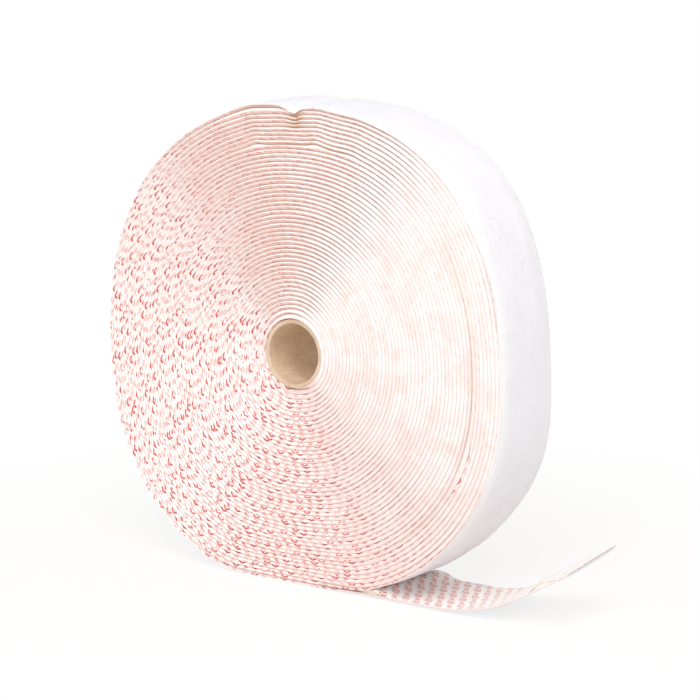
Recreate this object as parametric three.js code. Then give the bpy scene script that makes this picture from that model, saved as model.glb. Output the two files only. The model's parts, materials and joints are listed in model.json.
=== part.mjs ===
// Roll of self-adhesive loop tape on a paper core. It stands on its edge and its free end runs off along the floor.
// Millimetres, +Z up. The roll's axis lies along Y, the origin is on the floor below it, the tape runs off along +X.
import * as THREE from "three";

// Tape: pile side outwards, then the adhesive, then the wider release liner towards the axis
const tapeWidth = 50;
const linerOverhang = 2.5;
const fabricThickness = 1.66;
const adhesiveThickness = 0.25;
const linerThickness = 0.15;
const layerClearance = 0.1;

// Paper core, and the strip that holds the tape's start on it
const coreBoreRadius = 17.5;
const corePlyThickness = 0.6;
const coreLength = 53;
const coreSides = 48;
const startStripThickness = 0.12;
const startStripWidth = 46;
const startStripAngle = 80;

// Winding: the outer turns are wound one by one over the plain inner turns
const turnCount = 50;
const woundTurns = 20;
const stepsPerTurn = 24;
const startGap = 0.35;

// The roll has sagged: its outline is a little square and its foot is flat
const squareness = 2.278;
const footSag = 5.5;
const sagFade = 2;

// Free end: along the floor, up a curl, then straight to the tip
const floorRun = 98;
const curlRadius = 84;
const curlAngle = 30;
const endRun = 45;
const linerLap = 1.5;
const curlSteps = 10;

// Lines where the free end leaves the turns, where it bends, and where its liner starts to peel
const leadRun = 46;
const leadGap = 0.3;
const bendRun = 84;
const curlBendShare = 0.5;
const flapLength = 24;
const bendRange = 25;
const flapGap = 0.3;

// Tunnels where the liner has buckled off the adhesive
const nipTunnel = { at: 62, length: 28, rise: 3.6 };
const tipTunnel = { at: 140, length: 22, rise: 3.4 };
const tunnelSteps = 8;

// Sizes that follow from the ones above
const linerWidth = tapeWidth + 2 * linerOverhang;
const fabric = { low: 0, high: fabricThickness };
const adhesive = { low: fabric.high + layerClearance, high: fabric.high + layerClearance + adhesiveThickness };
const liner = { low: adhesive.high + layerClearance, high: adhesive.high + layerClearance + linerThickness };
const pitch = liner.high + layerClearance;
const plyRadii = ["inner", "middle", "outer"].map((name, i) => {
  const radius = coreBoreRadius + i * (corePlyThickness + layerClearance);
  return { name, inside: radius, outside: radius + corePlyThickness };
});
const coreRadius = plyRadii[plyRadii.length - 1].outside;
const seatRadius = coreRadius + startStripThickness + 2 * layerClearance;
const woundRadius = seatRadius + turnCount * pitch;
const axisHeight = woundRadius - footSag;
const stepAngle = (2 * Math.PI) / stepsPerTurn;
const footAngle = -Math.PI / 2 + stepAngle / 2;
const curlTurn = THREE.MathUtils.degToRad(curlAngle);
const curlRun = curlRadius * curlTurn;
const freeLength = floorRun + curlRun + endRun;
const curlBendRun = floorRun + curlBendShare * curlRun;
const flapRun = freeLength - flapLength;
const bendGap = liner.high * Math.tan(THREE.MathUtils.degToRad(bendRange) / 2) + layerClearance;

// Point at a radius and angle about the axis, on the sagged roll: the sag fades towards the core
function saggedPoint(radius, angle) {
  const side = Math.abs(Math.cos(angle));
  const rise = Math.sin(angle);
  const round = (side ** squareness + Math.abs(rise) ** squareness) ** (-1 / squareness);
  const foot = rise < 0 ? axisHeight / woundRadius / -rise : Infinity;
  const sag = (Math.min(round, foot) - 1) * (radius / woundRadius) ** sagFade;
  const reach = radius * (1 + sag);
  return [reach * Math.cos(angle), axisHeight + reach * rise];
}

// Radius of the tape's pile side: each turn climbs one pitch, and lies level over its last step, which is the foot
function pileRadius(turn, step) {
  const climb = Math.min(step, stepsPerTurn - 1) / (stepsPerTurn - 1);
  return woundRadius - pitch * (woundTurns - turn - climb);
}

// Point of the free end, at a run along its pile side and a height towards its liner side
function freePoint(run, height) {
  if (run <= floorRun) return [run, height];
  const turned = Math.min((run - floorRun) / curlRadius, curlTurn);
  const straight = Math.max(run - floorRun - curlRun, 0);
  return [
    floorRun + (curlRadius - height) * Math.sin(turned) + straight * Math.cos(turned),
    curlRadius - (curlRadius - height) * Math.cos(turned) + straight * Math.sin(turned),
  ];
}

// How far the liner stands off the adhesive at a run
function tunnelRise(run) {
  return [nipTunnel, tipTunnel].reduce((rise, tunnel) => {
    const part = (run - tunnel.at) / tunnel.length;
    return Math.abs(part) < 0.5 ? rise + tunnel.rise * Math.cos(Math.PI * part) ** 2 : rise;
  }, 0);
}

// Runs from start to end, with the steps of the curl, and those of the tunnels for a liner
function runSteps(start, end, isLiner) {
  const runs = [start, end];
  for (let i = 0; i <= curlSteps; i++) runs.push(floorRun + (curlRun * i) / curlSteps);
  for (const tunnel of isLiner ? [nipTunnel, tipTunnel] : [])
    for (let i = 0; i <= tunnelSteps; i++) runs.push(tunnel.at + tunnel.length * (i / tunnelSteps - 0.5));
  const sorted = runs.filter((run) => run >= start && run <= end).sort((a, b) => a - b);
  return sorted.filter((run, i) => i === 0 || run - sorted[i - 1] > 0.5 * layerClearance);
}

// Sections of one layer along the free end: each holds its pile-side and its liner-side point
function freeSections(layer, start, end) {
  return runSteps(start, end, layer === liner).map((run) => {
    const rise = layer === liner ? tunnelRise(run) : 0;
    return [freePoint(run, layer.low + rise), freePoint(run, layer.high + rise)];
  });
}

// Sections of one layer over the wound turns
function woundSections(layer) {
  const sections = [];
  for (let i = 0; i <= woundTurns * stepsPerTurn; i++) {
    const step = i % stepsPerTurn;
    const radius = pileRadius(Math.floor(i / stepsPerTurn), step);
    const angle = footAngle + step * stepAngle + (i === 0 ? startGap / radius : 0);
    sections.push([saggedPoint(radius - layer.low, angle), saggedPoint(radius - layer.high, angle)]);
  }
  return sections;
}

// Closed strip through its sections, as wide as given and centred on the roll
function stripGeometry(sections, width) {
  const half = width / 2;
  const vertices = [];
  const faces = [];
  const quad = (a, b, c, d) => faces.push(a, b, c, a, c, d);
  for (const [[lowX, lowZ], [highX, highZ]] of sections)
    vertices.push(lowX, -half, lowZ, lowX, half, lowZ, highX, half, highZ, highX, -half, highZ);
  const last = 4 * (sections.length - 1);
  quad(0, 3, 2, 1);
  for (let a = 0; a < last; a += 4) {
    const next = a + 4;
    quad(a, a + 1, next + 1, next);
    quad(a + 3, next + 3, next + 2, a + 2);
    quad(a, next, next + 3, a + 3);
    quad(a + 1, a + 2, next + 2, next + 1);
  }
  quad(last, last + 1, last + 2, last + 3);
  const geometry = new THREE.BufferGeometry();
  geometry.setAttribute("position", new THREE.Float32BufferAttribute(vertices, 3));
  geometry.setIndex(faces);
  geometry.computeVertexNormals();
  return geometry;
}

// Ring about the roll's axis
function ringGeometry(inside, outside, length) {
  const half = length / 2;
  const profile = [
    new THREE.Vector2(outside, -half),
    new THREE.Vector2(outside, half),
    new THREE.Vector2(inside, half),
    new THREE.Vector2(inside, -half),
    new THREE.Vector2(outside, -half),
  ];
  return new THREE.LatheGeometry(profile, coreSides).translate(0, 0, axisHeight);
}

// Least gap between the pile side of a wound layer and the liner side of its own next turn
function leastGap(sections) {
  let least = Infinity;
  for (let i = 0; i + stepsPerTurn + 1 < sections.length; i++) {
    const [x, z] = sections[i][0];
    const [ax, az] = sections[i + stepsPerTurn][1];
    const [bx, bz] = sections[i + stepsPerTurn + 1][1];
    const length2 = (bx - ax) ** 2 + (bz - az) ** 2;
    const along = THREE.MathUtils.clamp(((x - ax) * (bx - ax) + (z - az) * (bz - az)) / length2, 0, 1);
    least = Math.min(least, Math.hypot(x - ax - along * (bx - ax), z - az - along * (bz - az)));
  }
  return least;
}

const materials = {
  core: new THREE.MeshStandardMaterial({ color: 0xb98f63, roughness: 0.9 }),
  strip: new THREE.MeshStandardMaterial({ color: 0xd9cfa8, roughness: 0.5 }),
  turns: new THREE.MeshStandardMaterial({ color: 0xf1dcd6, roughness: 0.9 }),
  fabric: new THREE.MeshStandardMaterial({ color: 0xf4f3f5, roughness: 0.95 }),
  adhesive: new THREE.MeshStandardMaterial({ color: 0xf0e4c4, roughness: 0.35 }),
  liner: new THREE.MeshStandardMaterial({ color: 0xf3c9c0, roughness: 0.7 }),
};
const group = new THREE.Group();

function addPiece(name, geometry, material) {
  const mesh = new THREE.Mesh(geometry, material);
  mesh.name = name;
  group.add(mesh);
}

// Core of three glued paper plies
for (const ply of plyRadii)
  addPiece(`core_${ply.name}_ply`, ringGeometry(ply.inside, ply.outside, coreLength), materials.core);

// Strip between the core and the first turn
const stripStep = THREE.MathUtils.degToRad(startStripAngle) / curlSteps;
const stripSections = [];
for (let i = 0; i <= curlSteps; i++) {
  const angle = footAngle + i * stripStep;
  const reach = [coreRadius + layerClearance + startStripThickness, coreRadius + layerClearance];
  stripSections.push(reach.map((r) => [r * Math.cos(angle), axisHeight + r * Math.sin(angle)]));
}
addPiece("start_strip", stripGeometry(stripSections, startStripWidth), materials.strip);

// Inner turns as one plain body, whose outside steps up where the wound turns start
const innerOutline = [];
for (let step = 0; step <= stepsPerTurn; step++)
  innerOutline.push(saggedPoint(pileRadius(-1, step), footAngle + step * stepAngle));
const innerShape = new THREE.Shape(innerOutline.map(([x, z]) => new THREE.Vector2(x, z)));
const seatHole = [];
for (let i = 0; i < coreSides; i++) {
  const angle = (-i * 2 * Math.PI) / coreSides;
  seatHole.push(new THREE.Vector2(seatRadius * Math.cos(angle), axisHeight + seatRadius * Math.sin(angle)));
}
innerShape.holes.push(new THREE.Path(seatHole));
const innerGeometry = new THREE.ExtrudeGeometry(innerShape, { depth: linerWidth, bevelEnabled: false });
innerGeometry.rotateX(Math.PI / 2).translate(0, linerWidth / 2, 0);
addPiece("inner_turns", innerGeometry, materials.turns);

// Outer turns of the fabric and of the liner, each running out flat on the floor under the roll's side
for (const [name, layer, width, material] of [
  ["loop_tape_turns", fabric, tapeWidth, materials.fabric],
  ["liner_turns", liner, linerWidth, materials.liner],
]) {
  const wound = woundSections(layer);
  console.log(`${name}: least gap to itself ${leastGap(wound).toFixed(3)} mm over ${woundTurns} turns`);
  const runOut = [freePoint(leadRun - leadGap / 2, layer.low), freePoint(leadRun - leadGap / 2, layer.high)];
  addPiece(name, stripGeometry([...wound, runOut], width), material);
}

// Free end in three lengths of three layers each, and the liner's loose tip
const lengths = {
  lead: { start: leadRun + leadGap / 2, end: bendRun - bendGap / 2 },
  tail: { start: bendRun + bendGap / 2, end: curlBendRun - bendGap / 2 },
  end: { start: curlBendRun + bendGap / 2, end: freeLength },
};
for (const [name, { start, end }] of Object.entries(lengths)) {
  const linerEnd = Math.min(end, flapRun - flapGap / 2);
  addPiece(`${name}_loop_tape`, stripGeometry(freeSections(fabric, start, end), tapeWidth), materials.fabric);
  addPiece(`${name}_adhesive`, stripGeometry(freeSections(adhesive, start, end), tapeWidth), materials.adhesive);
  addPiece(`${name}_liner`, stripGeometry(freeSections(liner, start, linerEnd), linerWidth), materials.liner);
}
const flapSections = freeSections(liner, flapRun + flapGap / 2, freeLength + linerLap);
addPiece("liner_flap", stripGeometry(flapSections, linerWidth), materials.liner);

// Bend lines and overall sizes, for the record
const lines = { tail_bend: [bendRun, liner.high / 2], tail_curl: [curlBendRun, liner.high / 2] };
lines.liner_peel = [flapRun, (liner.low + liner.high) / 2];
for (const [name, [run, height]] of Object.entries(lines))
  console.log(`${name} at x, z ${freePoint(run, height).map((v) => v.toFixed(3))}`);
console.log(`axis height ${axisHeight.toFixed(3)}, wound radius ${woundRadius.toFixed(3)}, pitch ${pitch.toFixed(3)}`);

export default group;
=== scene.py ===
# Roll of self-adhesive loop tape: tape and printed liner wound on a paper core, the free end curling up
import json
import math

import bpy
import numpy as np
from mathutils import Matrix, Vector, noise


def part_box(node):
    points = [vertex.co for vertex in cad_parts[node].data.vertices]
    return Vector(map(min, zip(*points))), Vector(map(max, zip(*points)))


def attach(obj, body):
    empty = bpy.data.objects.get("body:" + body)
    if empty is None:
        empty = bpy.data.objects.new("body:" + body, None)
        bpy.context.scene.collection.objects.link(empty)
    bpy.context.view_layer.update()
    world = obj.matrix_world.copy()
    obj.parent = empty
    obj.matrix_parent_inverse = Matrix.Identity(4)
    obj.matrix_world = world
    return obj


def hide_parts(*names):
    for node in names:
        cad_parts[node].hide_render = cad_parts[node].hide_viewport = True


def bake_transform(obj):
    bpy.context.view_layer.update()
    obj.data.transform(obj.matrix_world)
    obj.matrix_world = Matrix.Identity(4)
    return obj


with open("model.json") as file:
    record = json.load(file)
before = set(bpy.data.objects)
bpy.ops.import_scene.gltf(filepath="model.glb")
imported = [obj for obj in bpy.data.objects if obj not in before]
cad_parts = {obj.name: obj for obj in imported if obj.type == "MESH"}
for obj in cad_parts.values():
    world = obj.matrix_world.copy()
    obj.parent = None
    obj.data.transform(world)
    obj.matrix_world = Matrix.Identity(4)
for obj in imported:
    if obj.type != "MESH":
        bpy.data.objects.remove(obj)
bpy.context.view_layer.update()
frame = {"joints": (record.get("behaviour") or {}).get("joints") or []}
mm = 0.001  # lengths below are in millimetres, unless a comment says metres


# Sizes that the frame gives
def boxMm(node):
    low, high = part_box(node)
    return np.array(low) / mm, np.array(high) / mm


coreLow, coreHigh = boxMm("core_outer_ply")
axisHeight = (coreLow[2] + coreHigh[2]) / 2
coreRadius = (coreHigh[0] - coreLow[0]) / 2
tapeHalf = boxMm("loop_tape_turns")[1][1]
linerHalf = boxMm("liner_turns")[1][1]
fabricBack = boxMm("lead_loop_tape")[1][2]
adhesiveLow, adhesiveHigh = boxMm("lead_adhesive")[0][2], boxMm("lead_adhesive")[1][2]
linerLow = boxMm("tail_liner")[0][2]
leadStart = boxMm("lead_loop_tape")[0][0]
plyThickness = boxMm("core_outer_ply")[1][0] - boxMm("core_middle_ply")[1][0]
hinges = {joint["name"]: joint["pos_m"] for joint in frame["joints"]}

# Winding of the roll: what each turn measures, and how the roll has sagged
winding = dict(
    turns=50,
    pitch=2.36,
    linerThickness=0.15,
    seatGap=0.32,  # start strip between the core and the first turn
    levelShare=1 / 24,  # the end of each turn lies level over the foot
    squareness=2.278,
    footSag=5.5,
    footSoftness=0.008,
    leastDown=0.05,  # keeps the foot's outline finite over the top
    stepFrom=0.95,  # part of the first turn that lies round before it steps over its own start
    stepTurns=5,
    startDip=0.98,  # the tape's start is pressed thin on the core
    startWidth=30,
    startTurns=8,
    dipFrom=0.5,  # the dip starts half a turn on
    leastSqueeze=0.05,
    closeIn=0.2,  # the first turns are drawn tight on the core
    closeTurns=3,
)
seatRadius = coreRadius + winding["seatGap"]
woundRadius = seatRadius + winding["turns"] * winding["pitch"]
footAngle = -math.pi / 2 + math.pi * winding["levelShare"]
linerTop = linerLow + winding["linerThickness"]

# Free end: along the floor, up a curl, then straight to the tip
freeEnd = dict(
    floorRun=98,
    curlRadius=84,
    curlAngle=30,
    endRun=45,
    linerLap=1.5,
    twist=2.7,  # how far the near edge hangs down at the tip
    twistFrom=118,
    twistTo=155,
    step=1.5,
    pileCount=22,
    linerCount=23,
    bendReach=12,
    curlReach=11,
)
curlTurn = math.radians(freeEnd["curlAngle"])
curlRun = freeEnd["curlRadius"] * curlTurn
freeLength = freeEnd["floorRun"] + curlRun + freeEnd["endRun"]


def smooth(value, low, high):  # 0 before low, 1 after high
    part = np.clip((value - low) / (high - low), 0, 1)
    return part * part * (3 - 2 * part)


def bell(value, centre, width):
    return np.exp(-(((value - centre) / width) ** 2))


def ripple(turn, rates, shift, apart=1.7):  # uneven waves along the tape, about -1 to 1
    waves = [np.sin(2 * math.pi * rate * turn + shift + apart * i) for i, rate in enumerate(rates)]
    return sum(waves) / len(waves)


# Where the turns lie unevenly: a kink at the top, a loose turn below it, and small waves
looseness = dict(
    kink=dict(angle=89.2, wideLeft=2.7, wideRight=1.1, depth=2.6, turns=6.5),
    shoulder=dict(angle=101, width=10, rise=2.1, turns=1.5),
    loose=dict(turn=8.6, keep=0.35, side=0.3, low=(-20, 10), high=(59, 74)),
    wedges=[
        dict(angle=103, width=3.0, rise=1.2),
        dict(angle=82.5, width=3.0, rise=1.3),
        dict(angle=71, width=3.2, rise=0.8),
    ],
    waves=dict(size=0.1, rates=(2.31, 5.17, 9.43), shift=0.4, footAngle=-90, footWidth=30),
    puffMost=1.8,
    bulgeFrom=12,
    bulges=[
        dict(angle=50, width=24, near=2.2, far=5.2),
        dict(angle=98, width=28, near=1.2, far=4.4),
        dict(angle=-14, width=26, near=3.0, far=0),
        dict(angle=-20, width=17, near=0, far=4.0),
    ],
)


def degreesOf(turn):  # place round the roll, from -180 to 180
    return (np.degrees(footAngle) + 360 * (turn - np.floor(turn)) + 180) % 360 - 180


def outermost(turn, count):  # 1 on the last turn, 0 from count turns in
    return np.clip(1 - (winding["turns"] - turn) / count, 0, 1)


def kinked(turn):
    kink, deg = looseness["kink"], degreesOf(turn)
    width = np.where(deg > kink["angle"], kink["wideLeft"], kink["wideRight"])
    return bell(deg, kink["angle"], width) * outermost(turn, kink["turns"])


def unevenness(turn):
    deg = degreesOf(turn)
    inwards = winding["turns"] - turn
    shoulder, loose, waves = looseness["shoulder"], looseness["loose"], looseness["waves"]
    offset = -looseness["kink"]["depth"] * kinked(turn)
    rise = shoulder["rise"] * bell(deg, shoulder["angle"], shoulder["width"])
    offset = offset + rise * outermost(turn, shoulder["turns"])
    outer = (inwards < loose["turn"]) * (loose["keep"] + (1 - loose["keep"]) * inwards / loose["turn"])
    side = smooth(deg, *loose["low"]) * (1 - smooth(deg, *loose["high"]))
    offset = offset + outer * loose["side"] * side
    for wedge in looseness["wedges"]:
        offset = offset + outer * wedge["rise"] * bell(deg, wedge["angle"], wedge["width"])
    away = 1 - bell(deg, waves["footAngle"], waves["footWidth"])
    return offset + waves["size"] * away * ripple(turn, waves["rates"], waves["shift"])


def fromNear(across):  # 0 at the near edge, 1 at the far one
    return (across / linerHalf + 1) / 2


def nearToFar(place, across):
    return place["near"] + (place["far"] - place["near"]) * fromNear(across)


def bulge(turn, across):  # the outer turns have loosened in places, more so towards the far face
    deg = degreesOf(turn)
    out = 0
    for place in looseness["bulges"]:
        out = out + nearToFar(place, across) * bell(deg, place["angle"], place["width"])
    return out * smooth(turn, looseness["bulgeFrom"], winding["turns"])


def startDip(turn):  # how much nearer the core the first turns lie, at the thin start of the tape
    fromStart = (360 * turn + 180) % 360 - 180
    fade = np.exp((1 - np.maximum(turn, 1)) / winding["startTurns"]) * (turn > winding["dipFrom"])
    tight = winding["closeIn"] * np.clip(1 - (turn - 1) / winding["closeTurns"], 0, 1)
    return winding["startDip"] * winding["pitch"] * bell(fromStart, 0, winding["startWidth"]) * fade + tight


def pileReach(turn):  # distance of the pile side from the axis before the sag
    whole = np.floor(turn)
    part = np.minimum((turn - whole) / (1 - winding["levelShare"]), 1)
    step = np.exp((1 - whole) / winding["stepTurns"])
    climb = part * (1 - step) + smooth(part, winding["stepFrom"], 1) * step
    return seatRadius + winding["pitch"] * (whole + climb) + unevenness(turn) - startDip(turn)


def sagged(reach, angle):
    power = winding["squareness"]
    outline = (np.abs(np.cos(angle)) ** power + np.abs(np.sin(angle)) ** power) ** (-1 / power)
    down = np.maximum(-np.sin(angle), winding["leastDown"])
    foot = (1 - winding["footSag"] / woundRadius) / down
    soft = winding["footSoftness"]
    edge = -soft * np.logaddexp(-outline / soft, -foot / soft)
    scaled = reach * (1 + (edge - 1) * (reach / woundRadius) ** 2)
    return scaled * np.cos(angle), axisHeight + scaled * np.sin(angle)


def puff(turn):  # how far the pile swells where the turn above stands off
    room = pileReach(turn + 1) - pileReach(turn) - winding["pitch"]
    return np.clip(room, 0, looseness["puffMost"])


def woundPoint(turn, height, across=0, swell=0):  # height is measured from the pile side towards the axis
    reach = pileReach(turn)
    squeeze = np.clip((reach - pileReach(turn - 1)) / winding["pitch"], winding["leastSqueeze"], 1)
    return sagged(reach - height * squeeze + swell + bulge(turn, across), footAngle + 2 * math.pi * turn)


runOutX = float(woundPoint(np.array(winding["turns"] * 1.0), 0.0)[0])  # where the tape leaves the turns


def freePoint(run, height):
    radius = freeEnd["curlRadius"]
    turned = np.clip((run - freeEnd["floorRun"]) / radius, 0, curlTurn)
    straight = np.maximum(run - freeEnd["floorRun"] - curlRun, 0)
    flat = np.minimum(run, freeEnd["floorRun"])
    x = flat + (radius - height) * np.sin(turned) + straight * np.cos(turned)
    z = radius - (radius - height) * np.cos(turned) + straight * np.sin(turned)
    return x, z


def leadPoint(run, height):  # from the foot's squeezed layers to the full thickness
    footX, footZ = woundPoint(np.full_like(run, winding["turns"]), height)
    x, z = freePoint(run, height)
    share = smooth(run, runOutX, leadStart)
    return (footX - runOutX + run) * (1 - share) + x * share, footZ * (1 - share) + z * share


# Shader maths: a wrapped socket, whose operators add Math nodes
class Wire:
    def __init__(self, tree, socket=None):
        self.tree = tree
        self.socket = socket

    def add(self, kind, settings=None, inputs=None, output=0):
        node = self.tree.nodes.new(kind)
        for name, value in (settings or {}).items():
            setattr(node, name, value)
        for name, value in (inputs or {}).items():
            if isinstance(value, Wire):
                value.into(node.inputs[name])
            else:
                node.inputs[name].default_value = value
        return Wire(self.tree, node.outputs[output])

    def into(self, socket):
        self.tree.links.new(self.socket, socket)

    def sibling(self, output):  # another output of the same node
        return Wire(self.tree, self.socket.node.outputs[output])

    def objectPlace(self):
        return self.add("ShaderNodeTexCoord", output="Object")

    def maths(self, operation, first, second=None):
        inputs = {0: first} if second is None else {0: first, 1: second}
        return self.add("ShaderNodeMath", {"operation": operation}, inputs)

    def __add__(self, other):
        return self.maths("ADD", self, other)

    def __sub__(self, other):
        return self.maths("SUBTRACT", self, other)

    def __rsub__(self, other):
        return self.maths("SUBTRACT", other, self)

    def __mul__(self, other):
        return self.maths("MULTIPLY", self, other)

    def __truediv__(self, other):
        return self.maths("DIVIDE", self, other)

    def __mod__(self, other):
        return self.maths("FLOORED_MODULO", self, other)

    __radd__ = __add__
    __rmul__ = __mul__

    def size(self):
        return self.maths("ABSOLUTE", self)

    def floor(self):
        return self.maths("FLOOR", self)

    def most(self, other):
        return self.maths("MAXIMUM", self, other)

    def between(self, low, high):  # 0 at low, 1 at high
        inputs = {"Value": self, "From Min": low, "From Max": high}
        return self.add("ShaderNodeMapRange", {"interpolation_type": "SMOOTHSTEP"}, inputs)

    def noise(self, place, scale, detail=2.0, roughness=0.5):
        inputs = {"Vector": place, "Scale": scale, "Detail": detail, "Roughness": roughness}
        return self.add("ShaderNodeTexNoise", {}, inputs)

    def mixColour(self, factor, first, second):
        node = self.add("ShaderNodeMix", {"data_type": "RGBA"}, {"Factor": factor}).socket.node
        for name, value in (("A", first), ("B", second)):
            socket = [s for s in node.inputs if s.name == name and s.type == "RGBA"][0]
            if isinstance(value, Wire):
                value.into(socket)
            else:
                socket.default_value = (*value, 1)
        return Wire(self.tree, [s for s in node.outputs if s.type == "RGBA"][0])


def newMaterial(name, fixed):
    material = bpy.data.materials.new(name)
    material.use_nodes = True
    shader = material.node_tree.nodes["Principled BSDF"]
    for socket, value in fixed.items():
        shader.inputs[socket].default_value = value
    return material, Wire(material.node_tree), shader


def paint(wire, shader, colour, height, strength, distance):
    inputs = {"Height": height, "Strength": strength, "Distance": distance}
    bump = wire.add("ShaderNodeBump", {}, inputs, "Normal")
    colour.into(shader.inputs["Base Color"])
    bump.into(shader.inputs["Normal"])


def tapeMap(wire):  # along and across the tape, in millimetres
    uv = wire.add("ShaderNodeUVMap", {"uv_map": "tapeMap"})
    along = wire.add("ShaderNodeSeparateXYZ", inputs={"Vector": uv}, output="X")
    return along / mm, along.sibling("Y") / mm


# Finishes: each has its colours, its grains, the range over which they mix, and its bump
pileFinish = dict(
    bright=(0.865, 0.85, 0.885),
    shade=(0.82, 0.805, 0.85),
    # painted highlight: the pile is lighter towards both selvedges, where its rounded edge catches the light
    edge=(0.90, 0.895, 0.905),
    tuft=dict(scale=900, detail=3, roughness=0.6),
    cloud=dict(scale=60),
    tuftShare=0.6,
    toneRange=(0.35, 0.6),
    rimFrom=0.7,
    bump=(0.5, 0.0004),
    surface={"Roughness": 0.95, "Sheen Weight": 0.15, "Sheen Roughness": 0.6, "Specular IOR Level": 0.1},
)


def makePile():
    share = pileFinish["tuftShare"]
    material, wire, shader = newMaterial("loopPile", pileFinish["surface"])
    place = wire.objectPlace()
    tufts = wire.noise(place, **pileFinish["tuft"])
    clouds = wire.noise(place, **pileFinish["cloud"])
    tone = (tufts * share + clouds * (1 - share)).between(*pileFinish["toneRange"])
    brushed = wire.mixColour(tone, pileFinish["shade"], pileFinish["bright"])
    # painted highlight along both selvedges of the pile
    rim = (tapeMap(wire)[1].size() / tapeHalf).between(pileFinish["rimFrom"], 1)
    colour = wire.mixColour(rim, brushed, pileFinish["edge"])
    paint(wire, shader, colour, tufts, *pileFinish["bump"])
    return material


threadFinish = {"Base Color": (0.93, 0.93, 0.945, 1), "Roughness": 1.0, "Specular IOR Level": 0.05}


def makeThread():
    return newMaterial("loopThread", threadFinish)[0]


edgeFinish = dict(
    bright=(0.92, 0.875, 0.87),
    shade=(0.88, 0.825, 0.815),
    blush=(0.91, 0.775, 0.76),
    # painted pink bounce light, over the lower right of the face
    rosy=(0.905, 0.755, 0.725),
    thread=dict(scale=1400, roughness=0.6),
    cloud=dict(scale=70),
    threadRange=(0.35, 0.65),
    blushRange=(0.42, 0.62),
    bump=(0.4, 0.0003),
    surface={"Roughness": 0.95, "Specular IOR Level": 0.1},
)
# Parts of the face whose colour carries painted light, painted shade over the top and painted pink bounce
# light over the lower right: the angle of the middle, its reach as a cosine, and its patches
shadedTopPart = dict(angle=97, reach=(0.68, 0.96), cloud=25)
bouncePinkPart = dict(angle=-78, reach=(0.6, 0.97), cloud=40)
tintPatches = dict(range=(0.3, 0.65), least=0.6)


def tinted(wire, place, part):  # 1 on that part of the roll's face and 0 round the rest
    x = wire.add("ShaderNodeSeparateXYZ", inputs={"Vector": place}, output="X")
    z = x.sibling("Z") - axisHeight * mm
    angle = math.radians(part["angle"])
    least = tintPatches["least"]
    towards = (x * math.cos(angle) + z * math.sin(angle)) / wire.maths("SQRT", x * x + z * z)
    patches = wire.noise(place, part["cloud"]).between(*tintPatches["range"]) * (1 - least) + least
    return towards.between(*part["reach"]) * patches


def makeEdge():
    material, wire, shader = newMaterial("tapeEdge", edgeFinish["surface"])
    place = wire.objectPlace()
    threads = wire.noise(place, **edgeFinish["thread"])
    clouds = wire.noise(place, **edgeFinish["cloud"])
    tone = threads.between(*edgeFinish["threadRange"])
    plain = wire.mixColour(tone, edgeFinish["shade"], edgeFinish["bright"])
    blushed = wire.mixColour(clouds.between(*edgeFinish["blushRange"]), plain, edgeFinish["blush"])
    # painted pink bounce light over the lower right of the face
    colour = wire.mixColour(tinted(wire, place, bouncePinkPart), blushed, edgeFinish["rosy"])
    paint(wire, shader, colour, threads, *edgeFinish["bump"])
    return material


adhesiveFinish = dict(
    cream=(0.96, 0.92, 0.80),
    deep=(0.93, 0.86, 0.70),
    streak=dict(scale=300),
    streakRange=(0.3, 0.7),
    bump=(0.2, 0.0002),
    surface={"Roughness": 0.35, "Specular IOR Level": 0.4},
)
stripFinish = dict(
    cream=(0.80, 0.75, 0.58),
    deep=(0.70, 0.64, 0.47),
    streak=dict(scale=400),
    streakRange=None,
    bump=(0.1, 0.0002),
    surface={"Roughness": 0.4},
)


def makeStreaked(name, tones):
    material, wire, shader = newMaterial(name, tones["surface"])
    place = wire.objectPlace()
    streaks = wire.noise(place, **tones["streak"])
    tone = streaks.between(*tones["streakRange"]) if tones["streakRange"] else streaks
    colour = wire.mixColour(tone, tones["deep"], tones["cream"])
    paint(wire, shader, colour, streaks, *tones["bump"])
    return material


# Printed liner: slanted rows of double chevrons, with a run of fine ticks and a slim diamond between them
printRows = dict(
    spacing=7.2,
    slant=0.55,
    repeat=13.0,
    rowShift=0.37,
    chevron=dict(reach=2.5, slope=0.42, apart=1.15, stroke=0.58),
    run=dict(reach=4.4, half=1.8, tick=1.45, lean=0.3),
    tickRange=(0.19, 0.28),
    diamond=(1.9, 0.8),
    diamondSoft=0.3,
    soft=0.14,
)
linerSides = dict(  # each side's paper, and how strongly the print shows on it
    free=dict(ink=1.0, paper=(0.975, 0.95, 0.925), fibre=(0.955, 0.92, 0.885)),
    wound=dict(ink=1.0, paper=(0.945, 0.885, 0.865), fibre=(0.925, 0.845, 0.82)),
    back=dict(ink=0.2, paper=(0.935, 0.86, 0.85), fibre=(0.915, 0.81, 0.80)),
    cut=dict(ink=0.15, paper=(0.84, 0.72, 0.64), fibre=(0.77, 0.63, 0.54)),
)
linerFinish = dict(
    red=(0.62, 0.12, 0.11),
    tick=(0.76, 0.36, 0.33),
    tickInk=0.9,
    # painted shade: the margins' printed side over the top of the face faces down, so it is painted darker
    # and duller there and its print fades
    dusty=(0.82, 0.60, 0.53),
    dustyFade=0.5,
    # painted pink bounce light over the lower right of the face
    rosy=(0.955, 0.785, 0.745),
    stain=(0.58, 0.36, 0.20),  # brown in the creases: partly adhesive that shows through creased paper, partly painted shade in the crease
    glareFrom=(95, 150),  # the print on the free end is painted paler towards the tip: painted glare
    glareFade=0.85,
    grain=dict(scale=700, detail=3, roughness=0.6),
    grainRange=(0.3, 0.7),
    bump=(0.15, 0.0002),
    surface={"Roughness": 0.55, "Specular IOR Level": 0.3},
)


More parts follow.
